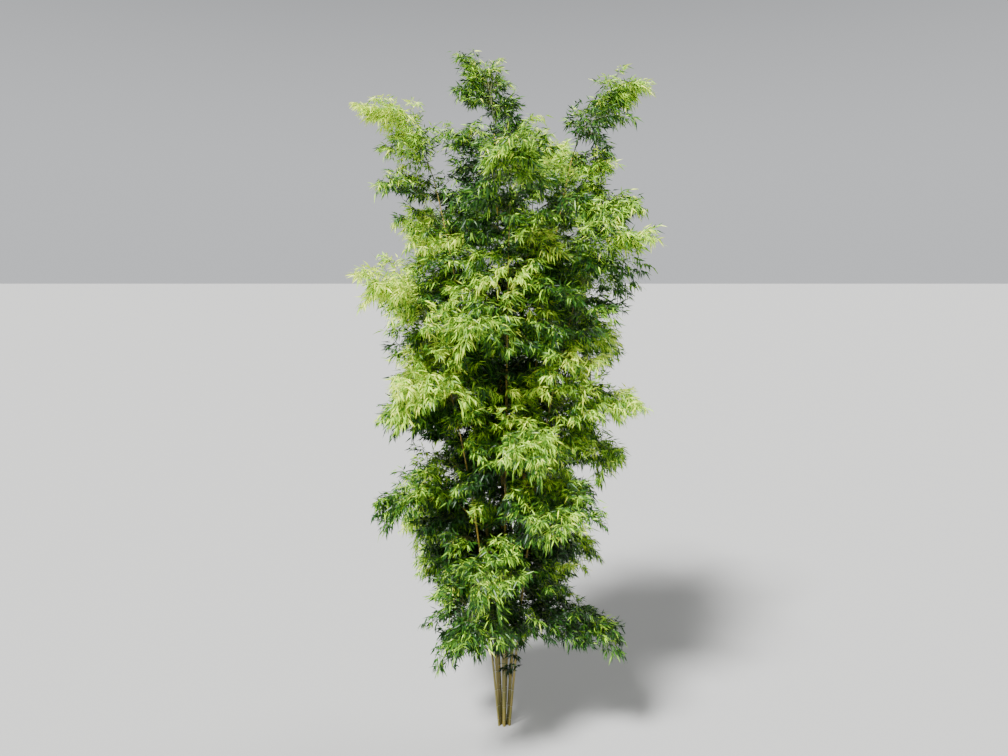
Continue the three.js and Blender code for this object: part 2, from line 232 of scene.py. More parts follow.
class ClumpCulmSettings(PropertyGroup):
    sides: IntProperty(name="Sides", description="Faces round a culm", default=16, min=6, max=32)
    girth: FloatProperty(
        name="Girth", description="A culm's radius, as a share of its solid's", default=0.97, min=0.9, max=1
    )
    # Young bark, low on a culm: its own olive colour, darkened with painted shade as if in the clump's shadow
    young_and_shaded: FloatVectorProperty(
        name="Young bark", description="Low on a culm", subtype="COLOR", default=(0.165, 0.138, 0.022)
    )
    # Ripe bark, high on a culm: its own golden colour, lightened with painted light as if sunlit
    ripe: FloatVectorProperty(
        name="Ripe bark", description="High on a culm", subtype="COLOR", default=(0.70, 0.48, 0.06)
    )
    green: FloatVectorProperty(
        name="Green bark", description="A culm's fresh streaks", subtype="COLOR", default=(0.11, 0.15, 0.022)
    )
    bloom: FloatVectorProperty(
        name="Bloom", description="The waxy ring under a joint", subtype="COLOR", default=(0.36, 0.36, 0.18)
    )
    old: FloatVectorProperty(
        name="Old bark", description="The oldest culms", subtype="COLOR", default=(0.26, 0.195, 0.06)
    )
    scar: FloatVectorProperty(
        name="Scar", description="The sheath scar at a joint", subtype="COLOR", default=(0.12, 0.075, 0.03)
    )


class ClumpFoliageSettings(PropertyGroup):
    leaf_length: FloatProperty(
        name="Leaf length", description="Mean length of a leaf", default=0.078, unit="LENGTH", min=0.05
    )
    leaf_width: FloatProperty(
        name="Leaf width", description="Mean width of a leaf", default=0.0126, unit="LENGTH", min=0.005
    )
    laterals: IntProperty(name="Laterals", description="Laterals on the stem of a mass", default=18, min=6)
    twigs: IntProperty(name="Twigs", description="Twigs on a lateral", default=7, min=2)
    fans: IntProperty(name="Fans", description="Fans of leaves on a twig", default=6, min=2)
    twig_bark: FloatVectorProperty(
        name="Twig bark", description="Stems and twigs", subtype="COLOR", default=(0.16, 0.165, 0.036)
    )
    roughness: FloatProperty(
        name="Leaf roughness", description="Mean roughness", default=0.38, subtype="FACTOR", min=0, max=1
    )
    sheen: FloatProperty(
        name="Leaf sheen", description="Strength of the gloss", default=0.34, subtype="FACTOR", min=0, max=1
    )


class ClumpStageSettings(PropertyGroup):
    camera_height: FloatProperty(name="Camera height", description="Above ground", default=4.4, unit="LENGTH")
    camera_distance: FloatProperty(name="Camera distance", description="Level", default=7.1, unit="LENGTH")
    camera_pitch: FloatProperty(
        name="Camera pitch", description="Below level", default=math.radians(7.75), subtype="ANGLE"
    )
    lens: FloatProperty(name="Lens", description="Focal length in millimetres", default=27.7)
    key: FloatProperty(name="Key light", description="Strength from the front", default=9.6, min=0)
    rim: FloatProperty(name="Rim light", description="Strength from behind", default=1.7, min=0)
    fill: FloatProperty(name="Fill", description="Strength of the walls' light", default=0.27)
    floor_size: FloatProperty(name="Floor", description="Side of the floor", default=600, unit="LENGTH")


def roll(*keys):
    """A repeatable number from 0 to 1, as the part's source makes it; each use has a last key of its own."""
    mixed = SEED
    for key, weight in zip(keys, (12.9898, 78.233, 37.719, 93.989)):
        mixed = mixed + key * weight
    wave = np.sin(mixed) * 43758.5453
    return wave - np.floor(wave)


def spread(low, high, *keys):
    return low + (high - low) * roll(*keys)


def level(bearing):
    turn = np.radians(bearing)
    return np.stack([np.cos(turn), np.sin(turn), np.zeros_like(turn)], axis=-1)


def heading_of(bearing, tilt):
    """Unit vectors at a bearing and a tilt from the vertical."""
    lean = np.radians(tilt)
    return level(bearing) * np.sin(lean)[..., None] + np.array([0, 0, 1.0]) * np.cos(lean)[..., None]


class Limb:
    """The middle line of a limb: it starts at a bearing and a tilt, and nods over as it goes."""

    def __init__(self, start, bearing, tilt, nod, length, steps, power=1):
        self.bearing = bearing
        self.tilt = tilt
        self.nod = nod
        self.length = length
        self.steps = steps
        self.power = power
        self.points = [np.array(start, dtype=float)]
        for i in range(steps):
            self.points.append(self.points[i] + self.tangent((i + 0.5) / steps) * length / steps)

    def tilt_at(self, s):
        return self.tilt + self.nod * s**self.power

    def tangent(self, s):
        return heading_of(np.float64(self.bearing), np.float64(self.tilt_at(s)))

    def point(self, s):
        place = min(max(s, 0), 1) * self.steps
        i = min(int(place), self.steps - 1)
        return self.points[i] + (self.points[i + 1] - self.points[i]) * (place - i)


def foot_reach(culm, bearing):
    step = 360 / CULM_SIDES
    past = (bearing - culm["bearing"] - culm["turn"]) % step
    half = math.radians(step / 2)
    return culm["radius"] * FOOT_FLARE * math.cos(half) / math.cos(math.radians(past) - half)


def nodes_of(culm):
    places = []
    at = FIRST_INTERNODE
    while at < culm["length"]:
        places.append(at)
        swell = math.sin(math.pi * math.sqrt(at / culm["length"]))
        at += FIRST_INTERNODE + (LONG_INTERNODE - FIRST_INTERNODE) * swell
    return places


def bearing_nodes(culm, order):
    at = culm["bare_to"] + TIER * ((order * TIERS_APART) % 1)
    chosen = []
    while at < culm["length"] - TIER / 2:
        chosen.append(min(culm["nodes"], key=lambda place: abs(place - at)))
        at += TIER
    return chosen


def culm_radius(culm, s):
    return culm["radius"] * (1 - (1 - TIP_SHARE) * s**TAPER_POWER)


def grow_on(limb, kind, length):
    """A limb that carries on from the tip of another, a seat's gap beyond it."""
    start = limb.point(1) + limb.tangent(1) * SEAT_GAP
    return Limb(start, limb.bearing, limb.tilt_at(1), kind["nod"], length, kind["steps"])


def distance_between(limb, other):
    """The least distance between the middle lines of two limbs."""
    least = math.inf
    for i in range(CLEARANCE_SAMPLES + 1):
        p = limb.point(i / CLEARANCE_SAMPLES)
        for a, b in zip(other.points, other.points[1:]):
            share = np.clip(np.dot(p - a, b - a) / np.dot(b - a, b - a), 0, 1)
            least = min(least, float(np.linalg.norm(a + (b - a) * share - p)))
    return least


def plan_clump():
    """The limbs that the part's source grows: culms, boughs and the stems of the masses."""
    culms = [dict(zip(CULM_ROW, (*row, LOWEST_MASS))) for row in CULMS]
    by_name = {culm["name"]: culm for culm in culms}
    for order, culm in enumerate(culms):
        culm["order"] = order
        other = by_name.get(culm["by"])
        culm["turn"] = culm["side"] + 180 - culm["bearing"] if other else 0
        culm["foot"] = np.zeros(3)
        if other:
            apart = culm["radius"] * FOOT_FLARE + foot_reach(other, culm["side"]) + SEAT_GAP
            culm["foot"] = other["foot"] + level(np.float64(culm["side"])) * apart
        culm["limb"] = Limb(
            culm["foot"], culm["bearing"], culm["lean"], culm["nod"], culm["length"], CULM_STEPS, NOD_POWER
        )
        culm["nodes"] = nodes_of(culm)
        culm["carrying"] = bearing_nodes(culm, order)
    boughs = []
    masses = []
    grown = [(culm, culm["limb"]) for culm in culms]
    for culm in culms:
        leader = grow_on(culm["limb"], LEADER, LEADER["length"])
        masses.append(dict(name=f"{culm['name']}_top_foliage", stem=leader, kind=LEADER, carried=True,
                           radius=culm_radius(culm, 1) * LEADER_GIRTH))
        grown.append((culm, leader))
    for culm in culms:
        for tier, at in enumerate(culm["carrying"]):
            plan_mass(culm, tier, at, boughs, masses, grown)
    for key, mass in enumerate(masses):
        mass["key"] = key
        mass["centre"] = mass["stem"].point(CENTRE_AT) - np.array([0, 0, CENTRE_DROP])
    return culms, boughs, masses


def plan_mass(culm, tier, at, boughs, masses, grown):
    """A bough and its stem, or a stem alone, turned round the culm until it clears the other culms' limbs."""
    s = (at + RIDGE_HALF * 2) / culm["length"]
    side = 1 if (tier + culm["order"]) % 2 else -1
    inner = 0 if culm["by"] else 180 * tier
    wanted = culm["bearing"] + inner + side * spread(*BOUGH_SWING, culm["order"], tier, 1)
    length = 1 - LENGTH_LOST * (at / culm["length"])
    carried = tier < BOUGHS_PER_CULM
    turn = 0
    while turn < 180:
        bearing = wanted + side * turn
        start = culm["limb"].point(s)
        bough = Limb(start, bearing, BOUGH["tilt"], BOUGH["nod"], BOUGH["length"] * length, BOUGH["steps"])
        if carried:
            stem = grow_on(bough, STEM, STEM["length"] * length)
        else:
            reach = (STEM["length"] + BOUGH["length"] * BOUGH_SAVED) * length
            stem = Limb(start, bearing, STEM["tilt"], STEM["nod"], reach, STEM["steps"])
        limbs = [bough, stem] if carried else [stem]
        others = [limb for owner, limb in grown if owner is not culm]
        if all(distance_between(limb, other) > LIMB_SPACING for limb in limbs for other in others):
            if carried:
                boughs.append(dict(name=f"{culm['name']}_bough_{tier + 1}", limb=bough))
            masses.append(dict(name=f"{culm['name']}_foliage_{tier + 1}", stem=stem, kind=STEM,
                               carried=carried, radius=STEM_RADIUS))
            grown.extend((culm, limb) for limb in limbs)
            return
        turn = -turn if turn > 0 else TURN_ON - turn
    raise RuntimeError(f"no room for a mass on {culm['name']} at {at:.2f} m")


def new_object(name, data):
    made = bpy.data.objects.new(name, data)
    bpy.context.collection.objects.link(made)
    return made


# Modelling by hand: the poles of the culms and boughs
def deselect_all():
    bpy.ops.object.select_all(action="DESELECT")


def pole_rows(length, nodes, radius_at, foot_flare=1.0):
    """The rows of a jointed pole's side: radius, height, bloom, scar, from its foot to its tip."""
    rows = [(radius_at(0) * foot_flare, -FOOT_DEPTH, 0.0, FOOT_SCAR)]
    if foot_flare > 1:
        wide, high, scar = FLARE_RING
        rows.append((radius_at(0) * (1 + (foot_flare - 1) * wide), FLARE_HEIGHT * high, 0.0, scar))
    for at in nodes:
        radius = radius_at(at / length)
        size = min(max(radius / JOINT_RADIUS, SMALLEST_JOINT), LARGEST_JOINT)
        for offset, share, bloom, scar in JOINT:
            place = at + offset * size
            if rows[-1][1] + RING_GAP < place < length - TIP_GAP:
                rows.append((radius * share, place, bloom, scar))
    rows.append((radius_at(1), length, 0.0, 0.0))
    return rows


def spin_pole(name, rows, sides):
    """A pole's side is drawn up from a single vertex, spun round Z and closed at both ends."""
    deselect_all()
    bpy.ops.mesh.primitive_plane_add(size=0.01, enter_editmode=True, location=(0, 0, 0))
    pole = bpy.context.object
    pole.name = name
    pole.data.name = name
    bpy.ops.mesh.merge(type="CENTER")
    bpy.ops.transform.translate(value=(0, 0, rows[0][1]))
    places = [(radius, height) for radius, height, _, _ in rows] + [(0, rows[-1][1])]
    last = (0, rows[0][1])
    for place in places:
        step = (place[0] - last[0], 0, place[1] - last[1])
        bpy.ops.mesh.extrude_vertices_move(TRANSFORM_OT_translate={"value": step})
        last = place
    bpy.ops.mesh.select_all(action="SELECT")
    bpy.ops.mesh.spin(steps=sides, angle=math.tau, center=(0, 0, 0), axis=(0, 0, 1))
    bpy.ops.mesh.select_all(action="SELECT")
    bpy.ops.mesh.remove_doubles(threshold=MERGE_WITHIN)
    bpy.ops.mesh.normals_make_consistent(inside=False)
    bpy.ops.object.mode_set(mode="OBJECT")
    return pole


def mark_rings(pole, rows, length, age=0.0):
    """Bloom, scar, age and a height share that ripens the bark and paints its shade and light go into the
    mesh, ring by ring, before the pole is bent.
    """
    _, levels, bloom, scar = np.array(rows).T
    heights = np.array([vertex.co.z for vertex in pole.data.vertices])
    nearest = np.abs(heights[:, None] - levels).argmin(axis=1)
    # The height share ripens the bark and also paints shade at the foot and light higher up
    ripeness = np.clip(heights / length, 0, 1)
    marks = dict(bloom=bloom[nearest], scar=scar[nearest], ripeness=ripeness, age=np.full(len(heights), age))
    for name, values in marks.items():
        layer = pole.data.attributes.new(name, "FLOAT", "POINT")
        layer.data.foreach_set("value", values.astype(np.float32))


def bend_pole(pole, limb):
    """A Curve modifier lays the pole along its limb's middle line."""
    line = bpy.data.curves.new(f"{pole.name}_line", "CURVE")
    line.dimensions = "3D"
    line.twist_mode = "MINIMUM"
    spline = line.splines.new("POLY")
    spline.points.add(len(limb.points) - 1)
    for point, place in zip(spline.points, limb.points):
        point.co = (*place, 1)
    guide = new_object(line.name, line)
    bend = pole.modifiers.new("Bend", "CURVE")
    bend.object = guide
    bend.deform_axis = "POS_Z"
    bpy.context.view_layer.objects.active = pole
    bpy.ops.object.modifier_apply(modifier=bend.name)
    bpy.data.objects.remove(guide)
    bpy.data.curves.remove(line)


def cut_at_ground(pole):
    bpy.context.view_layer.objects.active = pole
    bpy.ops.object.mode_set(mode="EDIT")
    bpy.ops.mesh.select_all(action="SELECT")
    bpy.ops.mesh.bisect(plane_co=(0, 0, 0), plane_no=(0, 0, 1), use_fill=True, clear_inner=True)
    bpy.ops.object.mode_set(mode="OBJECT")


def smooth_pole(pole):
    deselect_all()
    pole.select_set(True)
    bpy.context.view_layer.objects.active = pole
    bpy.ops.object.shade_smooth_by_angle(angle=math.radians(SMOOTH_ANGLE))


def finish_piece(piece, material, nodes):
    """A piece takes its material, rides on the clump's body and may stand for CAD nodes."""
    piece.data.materials.append(material)
    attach(piece, "root")
    if nodes:
        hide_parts(*nodes)


# Finishes
class Finish:
    """A Principled material with helpers that add the nodes that vary it."""

    def __init__(self, name, color, roughness):
        self.material = bpy.data.materials.new(name)
        self.material.use_nodes = True
        self.nodes = self.material.node_tree.nodes
        self.links = self.material.node_tree.links
        self.shader = self.nodes["Principled BSDF"]
        self.shader.inputs["Base Color"].default_value = (*color, 1)
        self.shader.inputs["Roughness"].default_value = roughness
        self.coords = self.nodes.new("ShaderNodeTexCoord").outputs["Object"]

    def noise(self, scale, stretch=(1, 1, 1), detail=3.0):
        mapping = self.nodes.new("ShaderNodeMapping")
        mapping.inputs["Scale"].default_value = stretch
        self.links.new(self.coords, mapping.inputs["Vector"])
        noise = self.nodes.new("ShaderNodeTexNoise")
        noise.inputs["Scale"].default_value = scale
        noise.inputs["Detail"].default_value = detail
        self.links.new(mapping.outputs["Vector"], noise.inputs["Vector"])
        return noise.outputs["Fac"]

    def attribute(self, name):
        reader = self.nodes.new("ShaderNodeAttribute")
        reader.attribute_name = name
        return reader.outputs["Fac"]

    def remap(self, value, low, high, to_low, to_high):
        remap = self.nodes.new("ShaderNodeMapRange")
        set_range(remap, (low, high, to_low, to_high))
        self.links.new(value, remap.inputs["Value"])
        return remap.outputs["Result"]

    def sum(self, a, b):
        adder = self.nodes.new("ShaderNodeMath")
        adder.operation = "ADD"
        adder.use_clamp = True
        self.links.new(a, adder.inputs[0])
        self.links.new(b, adder.inputs[1])
        return adder.outputs["Value"]

    def blend(self, share, a, b):
        """A colour between a and b, each a colour or the output of another node."""
        mix = self.nodes.new("ShaderNodeMix")
        mix.data_type = "RGBA"
        self.links.new(share, mix.inputs["Factor"])
        for socket, color in (("A", a), ("B", b)):
            entry = next(s for s in mix.inputs if s.name == socket and s.type == "RGBA")
            if isinstance(color, bpy.types.NodeSocket):
                self.links.new(color, entry)
            else:
                entry.default_value = (*color, 1)
        return next(s for s in mix.outputs if s.type == "RGBA")

    def bump(self, height, strength, distance):
        bump = self.nodes.new("ShaderNodeBump")
        bump.inputs["Strength"].default_value = strength
        bump.inputs["Distance"].default_value = distance
        self.links.new(height, bump.inputs["Height"])
        self.links.new(bump.outputs["Normal"], self.shader.inputs["Normal"])

    def color(self, value):
        self.links.new(value, self.shader.inputs["Base Color"])

    def roughness(self, value):
        self.links.new(value, self.shader.inputs["Roughness"])


def set_range(node, numbers):
    for socket, number in zip(("From Min", "From Max", "To Min", "To Max"), numbers):
        node.inputs[socket].default_value = number


def culm_bark(settings):
    """Bark that ripens with height, with painted shade at the culm's foot and painted sunlight higher up,
    streaked along the culm, with a waxy bloom and a scar at each joint.
    """
    bark = Finish("waxy_culm_bark", settings.young_and_shaded, 0.42)
    patches = bark.remap(bark.noise(2.6, (1, 1, 0.35)), 0.35, 0.68, -0.35, 0.45)
    # Painted light: up the culm the bark turns from painted shade at the foot to painted sunlight, besides
    # its ripening
    ripeness = bark.sum(bark.remap(bark.attribute("ripeness"), 0.0, 0.6, 0.0, 0.95), patches)
    ripened_and_lit = bark.blend(ripeness, settings.young_and_shaded, settings.ripe)
    aged = bark.blend(bark.remap(bark.attribute("age"), 0.3, 1, 0, 0.75), ripened_and_lit, settings.old)
    streaks = bark.remap(bark.noise(95, (1, 1, 0.035), 4), 0.42, 0.66, 0, 0.65)
    streaked = bark.blend(streaks, aged, settings.green)
    fibres = bark.noise(640, (1, 1, 0.02), 2)
    flecks = bark.remap(bark.noise(55, (1, 1, 0.5), 4), 0.63, 0.72, 0, 0.5)
    flecked = bark.blend(flecks, streaked, settings.scar)
    waxed = bark.blend(bark.attribute("bloom"), flecked, settings.bloom)
    bark.color(bark.blend(bark.attribute("scar"), waxed, settings.scar))
    gloss = bark.remap(fibres, 0.3, 0.7, 0.30, 0.46)
    bark.roughness(bark.sum(gloss, bark.remap(bark.attribute("bloom"), 0, 1, 0, 0.3)))
    bark.bump(fibres, 0.25, 0.0006)
    return bark.material


def twig_bark(settings):
    """Twigs run from olive to straw in patches, with fine bark."""
    bark = Finish("green_twig_bark", settings.twig_bark, 0.5)
    patches = bark.remap(bark.noise(5), 0.35, 0.65, 0, 1)
    bark.color(bark.blend(patches, OLIVE_TWIG, settings.twig_bark))
    grain = bark.noise(420)
    bark.roughness(bark.remap(grain, 0.3, 0.7, 0.4, 0.62))
    bark.bump(grain, 0.2, 0.0004)
    return bark.material


def leaf_finish(name, color, settings):
    """A plain leaf colour, with a gloss and a fine surface that vary over the leaf."""
    leaf = Finish(name, color, settings.roughness)
    leaf.shader.inputs["Specular IOR Level"].default_value = settings.sheen
    ribs = leaf.noise(260, detail=2)
    leaf.roughness(leaf.remap(ribs, 0.3, 0.7, settings.roughness - 0.1, settings.roughness + 0.12))
    leaf.bump(ribs, 0.18, 0.0006)
    return leaf.material


# Growing: bundles of limbs and leaves, held as arrays
class Bundle:
    """Many limbs of one kind, each a row of the arrays. A limb's tone brightens or darkens its leaves."""

    ROWS = ("bearing", "tilt", "nod", "length", "tone", "points")

    def __init__(self, start, bearing, tilt, nod, length, steps, tone):
        self.bearing = bearing
        self.tilt = tilt
        self.nod = nod
        self.length = length
        self.tone = tone
        self.steps = steps
        shares = (np.arange(steps) + 0.5) / steps
        tilts = tilt[:, None] + nod[:, None] * shares
        headings = heading_of(np.repeat(bearing[:, None], steps, axis=1), tilts)
        moves = np.cumsum(headings * (length / steps)[:, None, None], axis=1)
        self.points = np.concatenate([start[:, None], start[:, None] + moves], axis=1)

    @property
    def tips(self):
        return self.points[:, -1]

    def remade(self, rows_of):
        """A bundle of as many steps, with the arrays that rows_of gives."""
        made = object.__new__(Bundle)
        made.steps = self.steps
        for name in Bundle.ROWS:
            setattr(made, name, rows_of(name))
        return made

    def kept(self, mask):
        return self.remade(lambda name: getattr(self, name)[mask])

    def point(self, index, s):
        place = np.clip(s, 0, 1) * self.steps
        i = np.minimum(place.astype(int), self.steps - 1)
        a = self.points[index, i]
        return a + (self.points[index, i + 1] - a) * (place - i)[:, None]


def joined(bundles):
    """Bundles of equal steps as one."""
    return bundles[0].remade(lambda name: np.concatenate([getattr(bundle, name) for bundle in bundles]))


def off_culm(culm, places):
    """How far places lie from a culm's middle line at their own height, along X and along Y."""
    line = np.array(culm["limb"].points)
    return [places[:, i] - np.interp(places[:, 2], line[:, 2], line[:, i]) for i in (0, 1)]


class Reach:
    """Where foliage may be: in the boxes of the mass nodes and in a sleeve round each culm, over a skirt."""

    def __init__(self, masses, culms):
        self.culms = culms
        self.boxes = [[tuple(corner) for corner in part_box(mass["name"])] for mass in masses]
        self.centres = np.array([mass["centre"] for mass in masses])

    def holds(self, places):
        inside = np.zeros(len(places), dtype=bool)
        for low, high in self.boxes:
            inside |= ((places > low) & (places < high)).all(axis=1)
        for culm in self.culms:
            near = np.hypot(*off_culm(culm, places)) < SLEEVE
            inside |= near & (places[:, 2] < culm["limb"].points[-1][2] + SLEEVE)
        skirt = np.interp(np.hypot(places[:, 0], places[:, 1]), (0, SKIRT_AT), SKIRT)
        return inside & (places[:, 2] > skirt)

    def lift(self, places):
        """How far a place lies above the middle of the mass that it is nearest to, in metres."""
        lift = np.empty(len(places))
        for i, place in enumerate(places):
            apart = np.linalg.norm(self.centres - place, axis=1)
            lift[i] = place[2] - self.centres[apart.argmin(), 2]
        return lift


def in_company(places):
    """Which places have neighbours enough in the cells round theirs, so that no spray hangs alone."""
    cells = np.floor(places / COMPANY_CELL).astype(int)
    cells -= cells.min(axis=0) - 1
    counts = np.zeros(cells.max(axis=0) + 2, dtype=int)
    np.add.at(counts, tuple(cells.T), 1)
    steps = (-1, 0, 1)
    near = sum(counts[tuple((cells + (i, j, k)).T)] for i in steps for j in steps for k in steps)
    return near >= COMPANY


def parted(culms, places):
    """Which places lie in a parting, where the sprays leave a culm in view."""
    inside = np.zeros(len(places), dtype=bool)
    for culm in culms:
        if culm["name"] not in SHOWN_TO:
            continue
        line = np.array(culm["limb"].points)
        heights = np.interp(culm["nodes"], np.linspace(0, culm["length"], len(line)), line[:, 2])
        internode = np.digitize(places[:, 2], heights)
        keys = (culm["order"], internode)
        outward = level(SHOWN_TO[culm["name"]] + spread(-PARTING_SWING, PARTING_SWING, *keys, 23))
        away_x, away_y = off_culm(culm, places)
        ahead = away_x * outward[:, 0] + away_y * outward[:, 1]
        aside = np.abs(away_x * outward[:, 1] - away_y * outward[:, 0])
        open_here = roll(*keys, 21) < PARTED
        inside |= open_here & (ahead > -SLOT_BEHIND) & (aside < spread(*SLOT, *keys, 22))
    return inside


def either_way(rng, most, count=None):
    return rng.uniform(-most, most, count)


def faded(fade, s):
    """An even fall from a fade's first number, by its second along a limb or for each leaf of a fan."""
    return fade[0] - fade[1] * s


def ladder(count, per, first, rng):
    """For each of count limbs, per places along it: the limb's row, the share along it, the side in turn."""
    index = np.repeat(np.arange(count), per)
    rung = np.tile(np.arange(per), count)
    step = (1.0 - first) / max(per - 1, 1)
    shares = first + step * (rung + either_way(rng, RUNG_JITTER, len(rung)) * (rung < per - 1))
    side = np.where((rung + index) % 2, 1, -1)
    return index, np.clip(shares, LOWEST_RUNG, 1), side


def stem_bundle(limb):
    """One stem of the plan as a bundle."""
    columns = [np.array([float(value)]) for value in (limb.bearing, limb.tilt, limb.nod, limb.length)]
    return Bundle(limb.points[0][None], *columns, limb.steps, np.zeros(1))


def laterals_of(mass, settings, rng):
    """The source's twigs on a stem, arched a little, and as many again and more between them."""
    stem = mass["stem"]
    key = mass["key"]
    kind = mass["kind"]
    rows = []
    for i in range(kind["twigs"]):
        first = FIRST_TWIG[mass["carried"]]
        s = first + (LAST_TWIG - first) * i / (kind["twigs"] - 1)
        side = 1 if (i + key) % 2 else -1
        bearing = stem.bearing + side * spread(*TWIG_SWING, key, i, 2)
        tilt = spread(*(RISING_TILT if i % 2 else HANGING_TILT), key, i, 3)
        rows.append((s, bearing, tilt - ARCH / 2, ARCH, TWIG_LENGTH * spread(*TWIG_SHARES, key, i, 5)))
    more = settings.laterals - kind["twigs"]
    first = LATERAL["first"]
    thinning = (LATERAL["thinning"], kind["slimming"])
    for i in range(more):
        s = first + (1 - first) * (i + rng.uniform(*LATERAL["rung"])) / more
        side = 1 if i % 2 else -1
        bearing = stem.bearing + side * rng.uniform(*LATERAL["swing"]) * faded(LATERAL["fade"], s)
        tilt = stem.tilt_at(s) + rng.uniform(*LATERAL["tilt"])
        nod = rng.uniform(*LATERAL["nod"])
        rows.append((s, bearing, tilt, nod, rng.uniform(*LATERAL["length"]) * faded(thinning, s)))
    rows.append((1.0, stem.bearing, stem.tilt_at(1), *LAST_LATERAL))
    values = np.array(rows)
    starts = np.array([stem.point(s) for s in values[:, 0]])
    tone = either_way(rng, MASS_TONE) + either_way(rng, LATERAL["tone"], len(rows))
    return Bundle(starts, *values[:, 1:].T, LATERAL["steps"], tone)


def side_branches(culms, rng):
    """Thin branches from the culms' other nodes, three from each: two to its sides and one any way."""
    rows = []
    starts = []
    for culm in culms:
        lowest = min(culm["bare_to"], INNER_BARE_TO) - SIDE_BRANCH["below"]
        for i, at in enumerate(culm["nodes"]):
            s = at / culm["length"]
            if at < lowest or s > SIDE_BRANCH["last"]:
                continue
            for arm, swing in enumerate(SIDE_BRANCH["swings"]):
                side = 1 if (i + arm) % 2 else -1
                bearing = culm["bearing"] + side * rng.uniform(*swing)
                length = rng.uniform(*SIDE_BRANCH["length"]) * faded(SIDE_BRANCH["thinning"], s)
                tilt = rng.uniform(*SIDE_BRANCH["tilt"])
                nod = rng.uniform(*SIDE_BRANCH["nod"])
                rows.append((bearing, tilt, nod, length * SIDE_BRANCH["shares"][arm]))
                starts.append(culm["limb"].point(s))
    tone = either_way(rng, SIDE_BRANCH["tone"], len(rows))
    return Bundle(np.array(starts), *np.array(rows).T, SIDE_BRANCH["steps"], tone)


def turned(bundle, index, s, kind):
    """The tilt of a bundle's limbs at shares along them, turned some way towards the tilt of a kind."""
    tilt = bundle.tilt[index] + bundle.nod[index] * s
    return (1 - kind["turned"]) * tilt + kind["turned"] * kind["towards"]


def twigs_on(carriers, per, kind, rng):
    """Twigs that leave each carrier on one side and the other, shorter towards its tip, and droop."""
    index, s, side = ladder(len(carriers.bearing), per, kind["first"], rng)
    s = s ** kind["outward"]
    count = len(s)
    bearing = carriers.bearing[index] + side * rng.uniform(*TWIG["swing"], count) * faded(TWIG["fade"], s)
    tilt = turned(carriers, index, s, TWIG) + either_way(rng, TWIG["tilt"], count)
    reach = rng.uniform(*kind["length"], count) * faded(TWIG["thinning"], s)
    reach = reach * np.minimum(carriers.length[index] / FULL_CARRIER, 1)
    nod = rng.uniform(*TWIG["nod"], count)
    tone = carriers.tone[index] + either_way(rng, TWIG["tone"], count)
    return Bundle(carriers.point(index, s), bearing, tilt, nod, reach, TWIG["steps"], tone)


def fans_on(twigs, per, rng):
    """The short stalks at the twigs' ends and sides, each of which bears one fan of leaves."""
    index, s, side = ladder(len(twigs.bearing), per, STALK["first"], rng)
    count = len(s)
    bearing = twigs.bearing[index] + side * rng.uniform(*STALK["swing"], count) * faded(STALK["fade"], s)
    tilt = turned(twigs, index, s, STALK) + either_way(rng, STALK["tilt"], count)
    reach = rng.uniform(*STALK["length"], count)
    tone = twigs.tone[index] + either_way(rng, STALK["tone"], count)
    return Bundle(twigs.point(index, s), bearing, tilt, np.zeros(count), reach, 1, tone)


def leaves_on(stalks, settings, rng):
    """Four to six leaves on each stalk: the first carries it on, and the rest droop to its sides."""
    count = len(stalks.bearing)
    parts = []
    number = rng.integers(LEAF["fewest"], LEAF["most"] + 1, count)
    droop = LEAF["droop"] * rng.random(count) ** 2
    first_opening, more_opening = LEAF["opening"]
    for j in range(LEAF["most"]):
        index = np.flatnonzero(number > j)
        n = len(index)
        side = np.where(rng.random(n) < 0.5, 1, -1) if j == 0 else (1 if j % 2 else -1)
        opening = 0 if j == 0 else first_opening + more_opening * j
        bearing = stalks.bearing[index] + side * opening + either_way(rng, LEAF["swing"], n)
        tilt = np.maximum(stalks.tilt[index], LEAF["least_tilt"]) + droop[index] + LEAF["hang"] * j
        tilt = tilt + either_way(rng, LEAF["tilt"], n)
        size = rng.uniform(*LEAF["size"], n) * faded((1, LEAF["smaller"]), j)
        parts.append(dict(
            root=stalks.point(index, np.full(n, faded((1, LEAF["apart"]), j))),
            heading=heading_of(bearing, np.minimum(tilt, LEAF["most_tilt"])),
            bearing=bearing,
            twist=either_way(rng, LEAF["twist"], n),
            length=settings.leaf_length * size,
            width=settings.leaf_width * rng.uniform(*LEAF["width"], n) * size**0.5,
            stalk=index,
            tone=either_way(rng, LEAF["tone"], n),
        ))
    return {name: np.concatenate([part[name] for part in parts]) for name in parts[0]}


def picked(leaves, mask):
    """The leaves that a mask picks."""
    return {name: values[mask] for name, values in leaves.items()}


# Meshes from arrays: one unit shape, repeated
def repeated(numbers, times, shift):
    """The same whole numbers time after time, each time further on by a shift."""
    return (numbers[None] + np.arange(times)[:, None] * shift).astype(np.int32).ravel()


def mesh_of_units(name, places, unit_faces):
    """A mesh of n like units: places is n by v by 3, and each unit has the same faces."""
    units, corners = places.shape[:2]
    sizes = np.array([len(face) for face in unit_faces])
    loops = np.concatenate([np.array(face) for face in unit_faces])
    mesh = bpy.data.meshes.new(name)
    mesh.vertices.add(units * corners)
    mesh.vertices.foreach_set("co", places.astype(np.float32).ravel())
    mesh.loops.add(units * len(loops))
    mesh.loops.foreach_set("vertex_index", repeated(loops, units, corners))
    mesh.polygons.add(units * len(sizes))
    mesh.polygons.foreach_set("loop_start", repeated(np.cumsum(sizes) - sizes, units, len(loops)))
    mesh.update(calc_edges=True)
    if mesh.validate():
        raise RuntimeError(f"the mesh of {name} had to be mended")
    return mesh


def meshes_of_units(name, places, unit_faces):
    """The like units in as few meshes as the size of a piece allows."""
    triangles = len(places) * sum(len(face) - 2 for face in unit_faces)
    parts = np.array_split(places, math.ceil(triangles / LARGEST_PIECE))
    return [mesh_of_units(f"{name}_{i}", part, unit_faces) for i, part in enumerate(parts, 1)]


